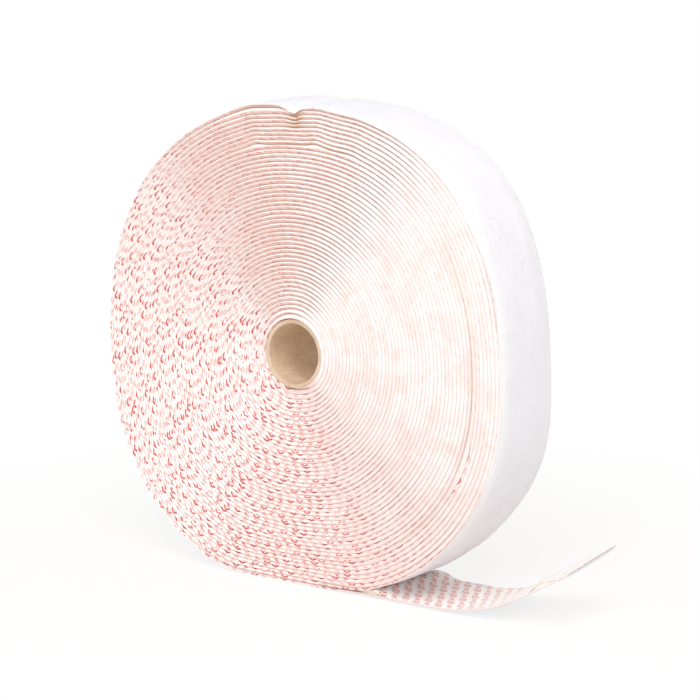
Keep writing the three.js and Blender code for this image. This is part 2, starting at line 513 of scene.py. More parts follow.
def printMask(wire):  # bold marks and fine ones, both from 0 to 1
    chevron, run, soft, repeat = (printRows[part] for part in ("chevron", "run", "soft", "repeat"))
    length, across = tapeMap(wire)
    along = length + across * printRows["slant"]
    row = (along / printRows["spacing"]).floor()
    offRow = along % printRows["spacing"] - printRows["spacing"] / 2
    offArrow = (across + row * (printRows["rowShift"] * repeat)) % repeat - repeat / 4
    side = offRow.size()
    halfRise = chevron["slope"] * chevron["reach"] / 2
    arrow = (offArrow - side * chevron["slope"] + halfRise).size() - chevron["apart"]
    inArrow = (chevron["reach"] - side).between(0, soft)
    bold = (chevron["stroke"] - arrow.size()).between(0, soft) * inArrow
    offRun = offArrow - repeat / 2
    leaned = offRun + offRow * run["lean"]
    longHalf, wideHalf = printRows["diamond"]
    slim = (1 - side / longHalf - leaned.size() / wideHalf).between(0, printRows["diamondSoft"])
    inRun = (run["reach"] - offRun.size()).between(0, soft) * (run["half"] - side).between(0, soft)
    ticks = ((leaned / run["tick"]) % 1 - 0.5).size().between(*printRows["tickRange"])
    return bold.most(slim), inRun * ticks


def makeLiner(name, side, wound=True, shadeAndGlueMarks=()):
    paper, fibre, strength = (linerSides[side][part] for part in ("paper", "fibre", "ink"))
    material, wire, shader = newMaterial(name, linerFinish["surface"])
    place = wire.objectPlace()
    along, across = tapeMap(wire)
    fibres = wire.noise(place, **linerFinish["grain"])
    base = wire.mixColour(fibres.between(*linerFinish["grainRange"]), fibre, paper)
    if wound:
        # painted shade over the top of the face, with the print fading under it
        dusty = tinted(wire, place, shadedTopPart)
        base = wire.mixColour(dusty, base, linerFinish["dusty"])
        # painted pink bounce light over the lower right of the face
        base = wire.mixColour(tinted(wire, place, bouncePinkPart), base, linerFinish["rosy"])
        ink = (1 - dusty * linerFinish["dustyFade"]) * strength
    else:
        # painted glare: the print on the free end fades towards the tip
        ink = (1 - along.between(*linerFinish["glareFrom"]) * linerFinish["glareFade"]) * strength
    bold, ticks = printMask(wire)
    ticked = wire.mixColour(ticks * ink * linerFinish["tickInk"], base, linerFinish["tick"])
    colour = wire.mixColour(bold * ink, ticked, linerFinish["red"])
    # painted shade in each crease, together with adhesive showing through, darkens the paper along it
    for at, reach, depth in shadeAndGlueMarks:  # on the near half only
        here = (reach - (along - at).size()).between(0, reach) * (0 - across).between(0, 1)
        colour = wire.mixColour(here * depth, colour, linerFinish["stain"])
    paint(wire, shader, colour, fibres, *linerFinish["bump"])
    return material


boardGrain = dict(
    stretch=(1, 0.25, 1),
    fibre=dict(scale=900, detail=4, roughness=0.65),
    cloud=dict(scale=90),
    fleck=dict(scale=2200, detail=1),
    fibreShare=0.6,
    toneRange=(0.36, 0.62),
    fleckRange=(0.66, 0.74),
    fleckDepth=0.5,
    smudgeDepth=0.6,
    bump=(0.35, 0.0003),
    surface={"Roughness": 0.85, "Specular IOR Level": 0.2},
)
coreFinish = dict(
    light=(0.77, 0.60, 0.44),
    dark=(0.63, 0.475, 0.335),
    fleck=(0.46, 0.33, 0.22),
    smudge=(0.40, 0.28, 0.18),
    smudges=[  # angle, depth and reach
        (-153, -14.6, 1.5),
        (157, 1.1, 1.4),
        (-125, -1.7, 1.0),
        (40, -9, 1.6),
    ],
)
cutFinish = dict(light=(0.72, 0.57, 0.44), dark=(0.62, 0.47, 0.34), fleck=(0.50, 0.36, 0.25), smudges=[])


def makeCore(name, tones):
    share = boardGrain["fibreShare"]
    material, wire, shader = newMaterial(name, boardGrain["surface"])
    place = wire.objectPlace()
    stretched = wire.add("ShaderNodeMapping", {}, {"Vector": place, "Scale": boardGrain["stretch"]})
    fibres = wire.noise(stretched, **boardGrain["fibre"])
    clouds = wire.noise(place, **boardGrain["cloud"])
    flecks = wire.noise(stretched, **boardGrain["fleck"])
    tone = (fibres * share + clouds * (1 - share)).between(*boardGrain["toneRange"])
    base = wire.mixColour(tone, tones["dark"], tones["light"])
    flecked = flecks.between(*boardGrain["fleckRange"]) * boardGrain["fleckDepth"]
    colour = wire.mixColour(flecked, base, tones["fleck"])
    boreRadius = boxMm("core_inner_ply")[1][0] - plyThickness
    for degrees, depth, reach in tones["smudges"]:
        angle = math.radians(degrees)
        x, z = boreRadius * math.cos(angle), axisHeight + boreRadius * math.sin(angle)
        spot = (x * mm, depth * mm, z * mm)
        away = wire.add("ShaderNodeVectorMath", {"operation": "DISTANCE"}, {0: place, 1: spot}, "Value")
        smudged = (1 - away.between(0, reach * mm)) * boardGrain["smudgeDepth"]
        colour = wire.mixColour(smudged, colour, tones["smudge"])
    paint(wire, shader, colour, fibres, *boardGrain["bump"])
    return material


finishes = dict(
    pile=makePile(),
    thread=makeThread(),
    edge=makeEdge(),
    adhesive=makeStreaked("adhesiveCoat", adhesiveFinish),
    printed=makeLiner("linerPrinted", "free", False),
    plain=makeLiner("linerBack", "back", False),
    woundPrinted=makeLiner("linerWound", "wound"),
    woundPlain=makeLiner("linerWoundBack", "back"),
    linerCut=makeLiner("linerCut", "cut"),
    core=makeCore("kraftBoard", coreFinish),
    coreCut=makeCore("boardCut", cutFinish),
    startTape=makeStreaked("startTape", stripFinish),
)
print("finishes made")


# Sheets: a grid laid along the tape, one column of points per step and one row per point of the section
def addGrid(name, columns, rows):
    bpy.ops.object.select_all(action="DESELECT")
    bpy.ops.mesh.primitive_grid_add(x_subdivisions=columns, y_subdivisions=rows, size=2)
    piece = bpy.context.object
    piece.name = name
    piece.data.name = name
    flat = np.empty(len(piece.data.vertices) * 3)
    piece.data.vertices.foreach_get("co", flat)
    flat = flat.reshape(-1, 3)
    column = np.rint((flat[:, 0] + 1) / 2 * columns).astype(int)
    row = np.rint((flat[:, 1] + 1) / 2 * rows).astype(int)
    return piece, column, row


def layGrid(name, x, y, z, length, width, rowFinish, materials):
    columns, rows = x.shape[0] - 1, x.shape[1] - 1
    piece, column, row = addGrid(name, columns, rows)
    mesh = piece.data
    places = np.stack([x, y, z], axis=-1)[column, row] * mm
    mesh.vertices.foreach_set("co", places.ravel())
    corner = np.empty(len(mesh.loops), int)
    mesh.loops.foreach_get("vertex_index", corner)
    layer = mesh.uv_layers.active or mesh.uv_layers.new()
    layer.name = "tapeMap"
    along = np.broadcast_to(np.asarray(length)[:, None], x.shape)[column, row] * mm
    across = np.broadcast_to(width, x.shape)[column, row] * mm
    layer.uv.foreach_set("vector", np.stack([along, across], axis=-1)[corner].ravel())
    for material in materials:
        mesh.materials.append(material)
    faceRow = row[corner].reshape(-1, 4).min(axis=1)
    mesh.polygons.foreach_set("material_index", np.asarray(rowFinish)[faceRow].astype(np.int32))
    mesh.update()
    return piece


def editAll(*steps):
    bpy.ops.object.mode_set(mode="EDIT")
    bpy.ops.mesh.select_all(action="SELECT")
    for step in steps:
        step()
    bpy.ops.object.mode_set(mode="OBJECT")


weldDistance = 1e-7  # in metres
foldAngle = 50  # edges that turn further stay sharp


def weld():
    bpy.ops.mesh.remove_doubles(threshold=weldDistance)


def fillEnds():
    bpy.ops.mesh.select_all(action="DESELECT")
    bpy.ops.mesh.select_non_manifold()
    bpy.ops.mesh.fill_holes(sides=0)
    bpy.ops.mesh.select_all(action="SELECT")


def faceOutwards():
    bpy.ops.mesh.normals_make_consistent(inside=False)


def smoothUpTo(angle):
    bpy.ops.object.shade_smooth_by_angle(angle=math.radians(angle))


def closeTube():
    editAll(weld, fillEnds, faceOutwards)
    smoothUpTo(foldAngle)


def addModifier(piece, kind, **settings):
    modifier = piece.modifiers.new(kind.lower(), kind)
    for name, value in settings.items():
        setattr(modifier, name, value)


def applyModifiers(piece):
    for modifier in list(piece.modifiers):
        bpy.ops.object.modifier_apply(modifier=modifier.name)


def pathLength(x, z):
    steps = np.hypot(np.diff(x), np.diff(z))
    return np.concatenate([[0], np.cumsum(steps)])


# Steps of the turns, closer over the top, where the kink is
closeSteps = dict(low=74, high=104, step=0.75, clear=0.3, least=1e-4)


def turnSteps(sizes):
    start, end, perTurn = sizes["start"], sizes["end"], sizes["perTurn"]
    clear, least = closeSteps["clear"] / perTurn, closeSteps["least"]
    even = np.arange(0, 1, 1 / perTurn)
    closeDeg = np.arange(closeSteps["low"], closeSteps["high"], closeSteps["step"])
    close = (closeDeg - math.degrees(footAngle)) / 360
    outside = even[(even < close[0] - clear) | (even > close[-1] + clear)]
    part = np.sort(np.concatenate([outside, close]))
    turns = (np.arange(math.floor(start), math.ceil(end))[:, None] + part[None, :]).ravel()
    inside = turns[(turns > start + least) & (turns < end - least)]
    return np.concatenate([[start], inside, [end]])


def leadRuns(sizes):  # the last turn runs on along the floor to the free end
    if "leadSteps" not in sizes:
        return None
    return np.linspace(runOutX, leadStart, sizes["leadSteps"] + 1)[1:]


# Lean of the liner's margins away from the axis, in degrees, and where a margin is folded further out
leaning = dict(
    base=17.5,
    right=10.5,
    rightAngle=15,
    upright=26,
    uprightPower=4,
    spread=5,
    rates=(1.37, 3.9, 8.3, 14.7),
    shift=0.9,
    coreTurns=4,
    least=6,
    most=85,
    farFlat=(48.7, 49.1),  # the last margin on the far face lies behind the pile
    folds=[
        dict(side=-1, turn=49.285, width=0.03, rise=30),
        dict(side=-1, turn=48.285, width=0.03, rise=20),
        dict(side=1, turn=49.51, width=0.022, rise=30),
        dict(side=-1, turn=43.16, width=0.018, rise=60),
        dict(side=-1, turn=49.477, width=0.009, rise=-45),  # tucked in at the kink
    ],
    proud=dict(turn=42.2, width=0.13, reach=0.8),  # the loose turn's liner stands further out
)


def leanOf(turn, side):  # side is -1 on the near face and 1 on the far one
    angle = footAngle + 2 * math.pi * turn
    lean = leaning["base"] - leaning["right"] * np.cos(angle - math.radians(leaning["rightAngle"]))
    lean = lean + leaning["upright"] * np.sin(angle) ** leaning["uprightPower"]
    lean = lean + leaning["spread"] * ripple(turn, leaning["rates"], leaning["shift"] + side)
    if side > 0:
        lean = lean * (1 - smooth(turn, *leaning["farFlat"]))
    for fold in leaning["folds"]:
        if fold["side"] == side:
            lean = lean + fold["rise"] * bell(turn, fold["turn"], fold["width"])
    free = smooth(turn, 1, leaning["coreTurns"])
    return np.clip(leaning["least"] + (lean - leaning["least"]) * free, leaning["least"], leaning["most"])


# Tape: pile, selvedges and the adhesive on its back, as one closed section
tapeSection = dict(
    drop=1.3,  # how far the crown of the free pile falls to its edges
    crownPower=5,
    pressed=-0.07,
    sway=0.25,
    swayRates=(0.37, 1.13, 2.71),
    swayShift=2.1,
    lipLength=2.35,
    lipLean=(8, 26),  # the selvedge fluffs out under a margin that leans, and stays short under a flat one
    lipLeast=0.7,
    lipPinch=0.6,  # in the kink
    lipRoom=0.94,  # share of the room under the leaning liner that the lip takes
    lipRoot=0.55,
    lipBack=0.75,
    lipDrop=0.1,
    lipTurns=(90, 60, 30, 0),
    lipBackSteps=(0.5, 1),
    fan=dict(angle=-48, width=34, fill=0.65),  # there the lip swells under the next turn's liner
    coatInset=0.1,
    relief=[dict(size=0.22, apart=17), dict(size=0.07, apart=4)],  # lumps and tufts of the free pile
    reliefSlice=0.5,
)
lipPoints = len(tapeSection["lipTurns"]) + len(tapeSection["lipBackSteps"])
pileKind, edgeKind, coatKind = range(3)  # order of the tape's finishes


def sway(turn):  # how far each turn has slid sideways
    return tapeSection["sway"] * ripple(turn, tapeSection["swayRates"], tapeSection["swayShift"])


def lipLength(lean):
    share = tapeSection["lipLeast"] + (1 - tapeSection["lipLeast"]) * smooth(lean, *tapeSection["lipLean"])
    return tapeSection["lipLength"] * share


def lipFan(turns, side):
    fan = tapeSection["fan"]
    opening = np.tan(np.radians(leanOf(turns + 1, side)))
    return fan["fill"] * opening * bell(degreesOf(turns), fan["angle"], fan["width"])


def lipShape(lean, length, top, fan):  # out from the pile's edge, round, and back to the fabric's edge
    tilt, length = np.radians(lean)[:, None], length[:, None]
    room, root = tapeSection["lipRoom"], tapeSection["lipRoot"]
    tipReach = room * length * np.cos(tilt)
    tipHeight = np.maximum(linerTop - length * np.sin(tilt), top + tapeSection["lipDrop"])
    reach, height = [], []
    for turned in np.radians(tapeSection["lipTurns"]):
        reach.append(tipReach * (root + (1 - root) * math.cos(turned)))
        swell = fan[:, None] * reach[-1] * math.sin(turned)
        height.append(top + (tipHeight - top) * (1 - math.sin(turned)) - swell)
    back = np.minimum((linerTop - fabricBack) / np.sin(tilt), tapeSection["lipBack"] * length)
    for share in tapeSection["lipBackSteps"]:
        under = length + (back - length) * share
        reach.append(room * under * np.cos(tilt))
        height.append(np.maximum(linerTop - under * np.sin(tilt), tipHeight))
    return reach, height


# Across and height for each step of the tape, and each face's finish
def tapeProfile(pileCount, pressed, coated, leans, fans, pinch=0):
    pile = np.linspace(-tapeHalf, tapeHalf, pileCount)[None, :] + 0 * leans[0][:, None]
    crown = tapeSection["drop"] * np.abs(pile / tapeHalf) ** tapeSection["crownPower"]
    lift = np.full_like(pile, tapeSection["pressed"]) if pressed else crown
    sides = []
    for lean, fan in zip(leans, fans):
        reach, height = lipShape(lean, lipLength(lean) * (1 - pinch), lift[:, -1:], fan)
        if coated:
            inset = np.full_like(lift[:, :1], tapeSection["coatInset"])
            reach += [-inset, -inset]
            height += [0 * inset + fabricBack, 0 * inset + adhesiveHigh]
        sides.append((np.concatenate(reach, axis=1), np.concatenate(height, axis=1)))
    (nearReach, nearHeight), (farReach, farHeight) = sides
    across = np.concatenate([pile, tapeHalf + farReach, -tapeHalf - nearReach[:, ::-1], pile[:, :1]], axis=1)
    height = np.concatenate([lift, farHeight, nearHeight[:, ::-1], lift[:, :1]], axis=1)
    back = [coatKind, coatKind, coatKind, edgeKind] if coated else []
    edges = [edgeKind] * lipPoints + back + [edgeKind] * (lipPoints - 1)
    return across, height, [pileKind] * pileCount + edges + [pileKind]


def pileRelief(along, across):
    along, across = np.broadcast_arrays(along, across)
    lift = np.zeros(across.shape)
    for grain in tapeSection["relief"]:
        apart = grain["apart"]
        for place in np.ndindex(across.shape):
            spot = Vector((along[place] / apart, across[place] / apart, tapeSection["reliefSlice"]))
            lift[place] += grain["size"] * noise.noise(spot)
    return lift


def unrolled(turn):
    return turn * 2 * math.pi * woundRadius


def layTape(name, turns, pileCount, runs=None):
    leans = [leanOf(turns, side) for side in (-1, 1)]
    fans = [lipFan(turns, side) for side in (-1, 1)]
    pinch = tapeSection["lipPinch"] * kinked(turns)
    if runs is not None:
        share = smooth(runs, runOutX, leadStart)
        leans = [np.concatenate([lean, lean[-1] * (1 - share) + leaning["least"] * share]) for lean in leans]
        fans = [0 * lean for lean in leans]
        pinch = np.concatenate([pinch, 0 * runs])
    across, height, kinds = tapeProfile(pileCount, runs is None, True, leans, fans, pinch)
    count = len(turns)
    if runs is not None:
        along = np.concatenate([unrolled(turns), unrolled(turns[-1]) + runs])
        height[:, :pileCount] += pileRelief(along[:, None], across[:, :pileCount])
        height[:, -1] = height[:, 0]
    wound, place = turns[:, None], across[:count]
    swell = puff(wound) + bulge(wound + 1, place) - bulge(wound, place) if runs is None else 0
    swell = swell * np.clip(1 - height[:count] / fabricBack, 0, 1)
    x, z = woundPoint(wound, height[:count], place, swell)
    side = sway(turns)
    if runs is not None:
        leadX, leadZ = leadPoint(np.repeat(runs[:, None], height.shape[1], axis=1), height[count:])
        x, z = np.concatenate([x, leadX]), np.concatenate([z, leadZ])
        side = np.concatenate([side, side[-1] * (1 - smooth(runs, runOutX, leadStart))])
    length = pathLength(x[:, 0], z[:, 0])
    materials = [finishes["pile"], finishes["edge"], finishes["adhesive"]]
    piece = layGrid(name, x, across + side[:, None], z, length, across, kinds, materials)
    closeTube()
    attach(piece, "roll")
    print(name, "laid,", round(length[-1]), "mm long,", len(piece.data.polygons), "faces")
    return piece


tapePieces = dict(
    innerTape=dict(start=1, end=30, perTurn=140, pile=2, stands=["inner_turns"]),
    outerTape=dict(start=30, end=49, perTurn=180, pile=2, stands=["loop_tape_turns"]),
    lastTurn=dict(start=49, end=50, perTurn=600, pile=40, leadSteps=24, stands=["loop_tape_turns"]),
)
for name, sizes in tapePieces.items():
    piece = layTape(name, turnSteps(sizes), sizes["pile"], leadRuns(sizes))
    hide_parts(*sizes["stands"])


# Liner: wider than the tape, its margins leaning out from the axis on both faces of the roll
linerSection = dict(
    marginSteps=(0.0, 0.35, 0.7, 1.0),
    curve=(0.85, 0.2),
    inset=1.4,
    trim=0.8,
    droop=0.4,
    droopFrom=24.4,
)


def linerRows():  # across, and how far along the margin from 0 at its root to 1 at its rim
    rows = [(tapeHalf - linerSection["inset"], 0.0)]
    rows += [(tapeHalf, step) for step in linerSection["marginSteps"]]
    return [(-base, part) for base, part in reversed(rows)] + rows


def layLiner(name, turns, runs=None, creases=()):
    rows, overhang = linerRows(), linerHalf - tapeHalf
    base = np.array([r[0] for r in rows])
    part = np.array([r[1] for r in rows])
    straight, more = linerSection["curve"]
    lean = np.where(base[None, :] < 0, leanOf(turns, -1)[:, None], leanOf(turns, 1)[:, None])
    tilt = np.radians(lean) * (straight + more * part[None, :])
    proud = leaning["proud"]
    width = overhang + proud["reach"] * bell(turns, proud["turn"], proud["width"])[:, None]
    width = width - linerSection["trim"] * smooth(turns, *leaning["farFlat"])[:, None] * (base > 0)
    outward = width * part[None, :] * np.sin(tilt)
    sideways = width * part[None, :] * np.cos(tilt)
    flat = base + np.sign(base) * overhang * part
    y = base[None, :] + np.sign(base)[None, :] * sideways + sway(turns)[:, None]
    x, z = woundPoint(turns[:, None], linerTop - outward, y)
    if runs is not None:
        fade = 1 - smooth(runs, runOutX, leadStart)[:, None]
        runRows = np.repeat(runs[:, None], len(rows), axis=1)
        leadX, leadZ = leadPoint(runRows, linerTop - outward[-1:] * fade)
        x, z = np.concatenate([x, leadX]), np.concatenate([z, leadZ])
        y = np.concatenate([y, y[-1:] * fade + flat[None, :] * (1 - fade)])
    length = pathLength(x[:, 0], z[:, 0])
    materials = [finishes["woundPrinted"], finishes["woundPlain"], finishes["linerCut"]]
    if creases:
        starts = np.interp([crease["turn"] for crease in creases], turns, length[:len(turns)])
        shadeAndGlueMarks = [(at, crease["reach"], crease["depth"]) for at, crease in zip(starts, creases)]
        materials[0] = makeLiner(name + "Print", "wound", True, shadeAndGlueMarks)
        materials[1] = makeLiner(name + "Back", "back", True, shadeAndGlueMarks)
    piece = layGrid(name, x, y, z, length, flat, [0] * len(base), materials)
    thicken(piece)
    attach(piece, "roll")
    print(name, "laid,", round(length[-1]), "mm long,", len(piece.data.polygons), "faces")
    return piece


# The grid is the printed side; the plain side and the cut edge have the next two finishes
def thicken(piece):
    paper = winding["linerThickness"] * mm
    addModifier(piece, "SOLIDIFY", thickness=paper, offset=-1, material_offset=1, material_offset_rim=2)
    applyModifiers(piece)
    smoothUpTo(foldAngle)


# Creases in the liner: the turn each is on, how far it reaches along the paper, and how deep its brown is,
# partly adhesive showing through and partly painted shade
kinkPart = (looseness["kink"]["angle"] - math.degrees(footAngle)) / 360
kinkTurns = range(45, 49)
kinkCreases = [dict(turn=turn + kinkPart, reach=9, depth=0.85) for turn in kinkTurns]
rimCrease = dict(turn=49.507, reach=24, depth=0.7)
looseCreases = [dict(turn=42.2, reach=190, depth=0.45), dict(turn=41.46, reach=80, depth=0.5)]
linerPieces = dict(
    innerLiner=dict(start=1, end=18, perTurn=130, stands=["inner_turns"]),
    middleLiner=dict(start=18, end=32, perTurn=150, stands=["inner_turns", "liner_turns"]),
    outerLiner=dict(start=32, end=43, perTurn=180, stands=["liner_turns"], creases=looseCreases),
    lastLiner=dict(
        start=43, end=50, perTurn=220, leadSteps=15, stands=["liner_turns"], creases=[rimCrease, *kinkCreases]
    ),
)
for name, sizes in linerPieces.items():
    piece = layLiner(name, turnSteps(sizes), leadRuns(sizes), sizes.get("creases", ()))
    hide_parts(*sizes["stands"])


# Free end: two lengths of tape and adhesive, and three of liner, parted where nothing bends
tailJoin = (hinges["tail_bend"][0] + hinges["tail_curl"][0]) / 2 / mm
tunnels = [  # where the liner lifts off the tape: its place at each edge, and how high it stands there
    dict(nearAt=54, farAt=62, length=30, near=3.2, far=3.9),
    dict(nearAt=172, farAt=140, length=24, near=2.2, far=1.2),
]
linerParts = dict(join=152, peelReach=8, slide=1.6, slideFrom=50, slideTo=80)


def twisted(run, across):
    return freeEnd["twist"] * across / tapeHalf * smooth(run, freeEnd["twistFrom"], freeEnd["twistTo"])


def tunnelRise(run, across):
    rise = 0
    for tunnel in tunnels:
        at = tunnel["nearAt"] + (tunnel["farAt"] - tunnel["nearAt"]) * fromNear(across)
        part = np.clip((run - at) / tunnel["length"], -0.5, 0.5)
        rise = rise + nearToFar(tunnel, across) * np.cos(math.pi * part) ** 2
    return rise


def runSteps(start, end):
    return np.linspace(start, end, max(2, round((end - start) / freeEnd["step"])) + 1)


def runGrid(start, end, across):
    runs = runSteps(start, end)
    return np.repeat(runs[:, None], len(across), axis=1), np.repeat(across[None, :], len(runs), axis=0)


def bendOver(piece):
    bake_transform(piece)


def layFabricEnd(name, start, end):
    runs = runSteps(start, end)
    leans = [np.full(len(runs), leaning["least"])] * 2
    across, height, kinds = tapeProfile(freeEnd["pileCount"], False, False, leans, [0 * runs] * 2)
    run = np.repeat(runs[:, None], across.shape[1], axis=1)
    x, z = freePoint(run, height)
    z = z + twisted(run, across)
    piece = layGrid(name, x, across, z, runs, across, kinds, [finishes["pile"], finishes["edge"]])
    closeTube()
    (end - start) * mm
    return piece


# From the near edge inwards: how far the liner has pulled the adhesive up with it
coatPull = [(9, 0), (6, 0.3), (3, 0.8), (0, 0.95)]


def layCoatEnd(name, start, end):
    half = tapeHalf - tapeSection["coatInset"]
    corners = [(-half, adhesiveLow, 0), (half, adhesiveLow, 0), (half, adhesiveHigh, 0)]
    corners += [(inward - half, adhesiveHigh, share) for inward, share in coatPull]
    corners.append(corners[0])
    across, height, share = np.array(corners).T
    run, y = runGrid(start, end, across)
    x, z = freePoint(run, height[None, :] + share[None, :] * tunnelRise(run, y))
    kinds = [0] * (len(corners) - 1)
    z = z + twisted(run, y)
    piece = layGrid(name, x, y, z, run[:, 0], across[None, :], kinds, [finishes["adhesive"]])
    closeTube()
    (end - start) * mm
    return piece


def layLinerEnd(name, start, end):
    count = freeEnd["linerCount"]
    across = np.linspace(-linerHalf, linerHalf, count)
    run, y = runGrid(start, end, across)
    y = y + linerParts["slide"] * smooth(run, linerParts["slideFrom"], linerParts["slideTo"])
    droop = linerSection["droop"] * smooth(np.abs(y), linerSection["droopFrom"], linerHalf)
    x, z = freePoint(run, linerTop + tunnelRise(run, y) - droop)
    z = z + twisted(run, y)
    materials = [finishes["printed"], finishes["plain"], finishes["plain"]]
    piece = layGrid(name, x, y, z, run[:, 0], across[None, :], [0] * (count - 1), materials)
    thicken(piece)
    (end - start) * mm
    return piece


nearEnds = dict(
    tailTape=(layFabricEnd, ["lead_loop_tape", "tail_loop_tape"]),
    tailCoat=(layCoatEnd, ["lead_adhesive", "tail_adhesive"]),
    tailLiner=(layLinerEnd, ["lead_liner", "tail_liner"]),
)
for name, (lay, stands) in nearEnds.items():
    piece = lay(name, leadStart, tailJoin)
    bendOver(piece)
    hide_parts(*stands)
farEnds = dict(
    endTape=(layFabricEnd, freeLength, ["end_loop_tape", "tail_loop_tape"]),
    endCoat=(layCoatEnd, freeLength, ["end_adhesive", "tail_adhesive"]),
    endLiner=(layLinerEnd, linerParts["join"], ["end_liner", "tail_liner"]),
)
for name, (lay, end, stands) in farEnds.items():
    piece = lay(name, tailJoin, end)
    bendOver(piece)
    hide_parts(*stands)
piece = layLinerEnd("linerTip", linerParts["join"], freeLength + freeEnd["linerLap"])
bendOver(piece)
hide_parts("liner_flap", "end_liner")
print("free end laid")


# Loose loops of the pile that stand out of the last turn
fuzz = dict(
    seed=7,
    count=4200,
    turns=(49.09, 49.92),
    edgeShare=0.5,
    edgeReach=3.5,
    rise=(0.35, 0.95),
    span=(0.6, 1.5),
    strays=12,
    strayRise=(1.6, 2.6),
    lean=35,
    edgeLean=25,
    edgePower=4,
    sunk=0.2,
    thread=0.11,
    ringSteps=10,
    threadSides=3,
    slopeStep=1e-5,
)


def keepUpperHalf():
    bpy.ops.mesh.bisect(plane_co=(0, 0, 0), plane_no=(0, 1, 0), use_fill=True, clear_inner=True)


def modelLoop():  # half a ring, one unit high, with its feet on the x axis
    bpy.ops.object.select_all(action="DESELECT")
    bpy.ops.mesh.primitive_torus_add(
        major_segments=fuzz["ringSteps"],
        minor_segments=fuzz["threadSides"],
        major_radius=1,
        minor_radius=fuzz["thread"],
    )
    ring = bpy.context.object
    editAll(keepUpperHalf)
    places = np.array([vertex.co[:] for vertex in ring.data.vertices])
    faces = [list(polygon.vertices) for polygon in ring.data.polygons]
    bpy.data.objects.remove(ring)
    return places, faces


def growFuzz():
    places, faces = modelLoop()
    rng = np.random.default_rng(fuzz["seed"])
    count = fuzz["count"]
    turn = rng.uniform(*fuzz["turns"], count)
    atEdge = rng.random(count) < fuzz["edgeShare"]
    inward = np.where(atEdge, rng.uniform(0, fuzz["edgeReach"], count), rng.uniform(0, tapeHalf, count))
    side = rng.choice([-1, 1], count)
    across = side * (tapeHalf - inward)
    rise, span = rng.uniform(*fuzz["rise"], count), rng.uniform(*fuzz["span"], count)
    rise[:fuzz["strays"]] = rng.uniform(*fuzz["strayRise"], fuzz["strays"])
    crown = tapeSection["drop"] * np.abs(across / tapeHalf) ** tapeSection["crownPower"]
    height = crown + pileRelief(unrolled(turn), across) + fuzz["sunk"]
    x, z = woundPoint(turn, height, across)
    nextX, nextZ = woundPoint(turn + fuzz["slopeStep"], height, across)
    slope = np.arctan2(nextZ - z, nextX - x)
    forward = np.stack([np.cos(slope), 0 * slope, np.sin(slope)], axis=1)
    out = np.stack([np.sin(slope), 0 * slope, -np.cos(slope)], axis=1)
    sideways = np.broadcast_to([0.0, 1.0, 0.0], forward.shape)
    turned = rng.uniform(0, math.pi, count)[:, None]
    lean = np.radians(rng.uniform(-fuzz["lean"], fuzz["lean"], count))
    atRim = np.abs(across / tapeHalf) ** fuzz["edgePower"]
    lean = (lean + np.radians(fuzz["edgeLean"]) * np.sign(across) * atRim)[:, None]
    up = np.cos(lean) * out + np.sin(lean) * sideways
    flat = np.cos(turned) * forward + np.sin(turned) * sideways
    flat = flat - up * np.sum(flat * up, axis=1, keepdims=True)
    flat = flat / np.linalg.norm(flat, axis=1, keepdims=True)
    thick = np.cross(flat, up)
    foot = np.stack([x, across + sway(turn), z], axis=1)
    corners = foot[:, None, :] + places[None, :, 0:1] * (flat * span[:, None] / 2)[:, None, :]
    corners = corners + places[None, :, 1:2] * (up * rise[:, None])[:, None, :]
    corners = corners + places[None, :, 2:3] * (thick * span[:, None] / 2)[:, None, :]
    loops = [[corner + copy * len(places) for corner in face] for copy in range(count) for face in faces]
    mesh = bpy.data.meshes.new("looseLoops")
    mesh.from_pydata((corners.reshape(-1, 3) * mm).tolist(), [], loops)
    mesh.materials.append(finishes["thread"])
    piece = bpy.data.objects.new("looseLoops", mesh)
    bpy.context.collection.objects.link(piece)
    bpy.context.view_layer.objects.active = piece
    bpy.ops.object.select_all(action="DESELECT")
    piece.select_set(True)
    editAll(faceOutwards)
    bpy.ops.object.shade_smooth()
    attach(piece, "roll")
    print("loose loops grown,", len(mesh.polygons), "faces")


growFuzz()


# Core: plies of board wound in a helix, their seams standing a little proud
core = dict(
    sides=160,
    rings=30,
    seamLean=24,
    seamRise=0.14,
    seamStep=0.4,
    seamWidth=2.2,
    seamTurn=0.31,  # from one ply's seam to the next one's
    rimRough=0.1,
    rimWaves=(23, 7),
    rimShift=5,
    cutWidth=0.08,
    cutSegments=2,
    sharpAngle=40,
)


def windPly(name, node, phase):
    low, high = boxMm(node)
    outside, half = (high[0] - low[0]) / 2, (high[1] - low[1]) / 2
    angle = np.linspace(0, 2 * math.pi, core["sides"] + 1)[:, None]
    along = np.linspace(-half, half, core["rings"] + 1)[None, :]
    seam = (along / core["seamLean"] + angle / (2 * math.pi) + phase) % 1
    seamGap = seam * core["seamLean"]
    rise = core["seamRise"] * np.exp(-seamGap / core["seamWidth"]) * np.minimum(seamGap / core["seamStep"], 1)
    reach = outside - rise
    quick, slow = core["rimWaves"]
    rough = core["rimRough"] * np.sin(quick * angle + core["rimShift"] * phase) * np.sin(slow * angle + phase)
    y = along * (1 + rough / half)
    x, z = reach * np.cos(angle) + 0 * along, axisHeight + reach * np.sin(angle) + 0 * along
    materials = [finishes["core"], finishes["coreCut"]]
    piece = layGrid(name, x, y, z, angle[:, 0] * outside, along, [0] * core["rings"], materials)
    editAll(weld, faceOutwards)
    addModifier(piece, "SOLIDIFY", thickness=plyThickness * mm, offset=-1, material_offset_rim=1)
    cut = dict(width=core["cutWidth"] * mm, segments=core["cutSegments"])
    addModifier(piece, "BEVEL", limit_method="ANGLE", **cut)
    applyModifiers(piece)
    smoothUpTo(core["sharpAngle"])
    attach(piece, "roll")
    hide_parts(node)


for i, layer in enumerate(("inner", "middle", "outer")):
    windPly(layer + "Ply", "core_" + layer + "_ply", core["seamTurn"] * i)


# Strip that holds the tape's start on the core
startStrip = dict(spread=80, steps=32, stepsAcross=4, gap=0.1, film=0.12)


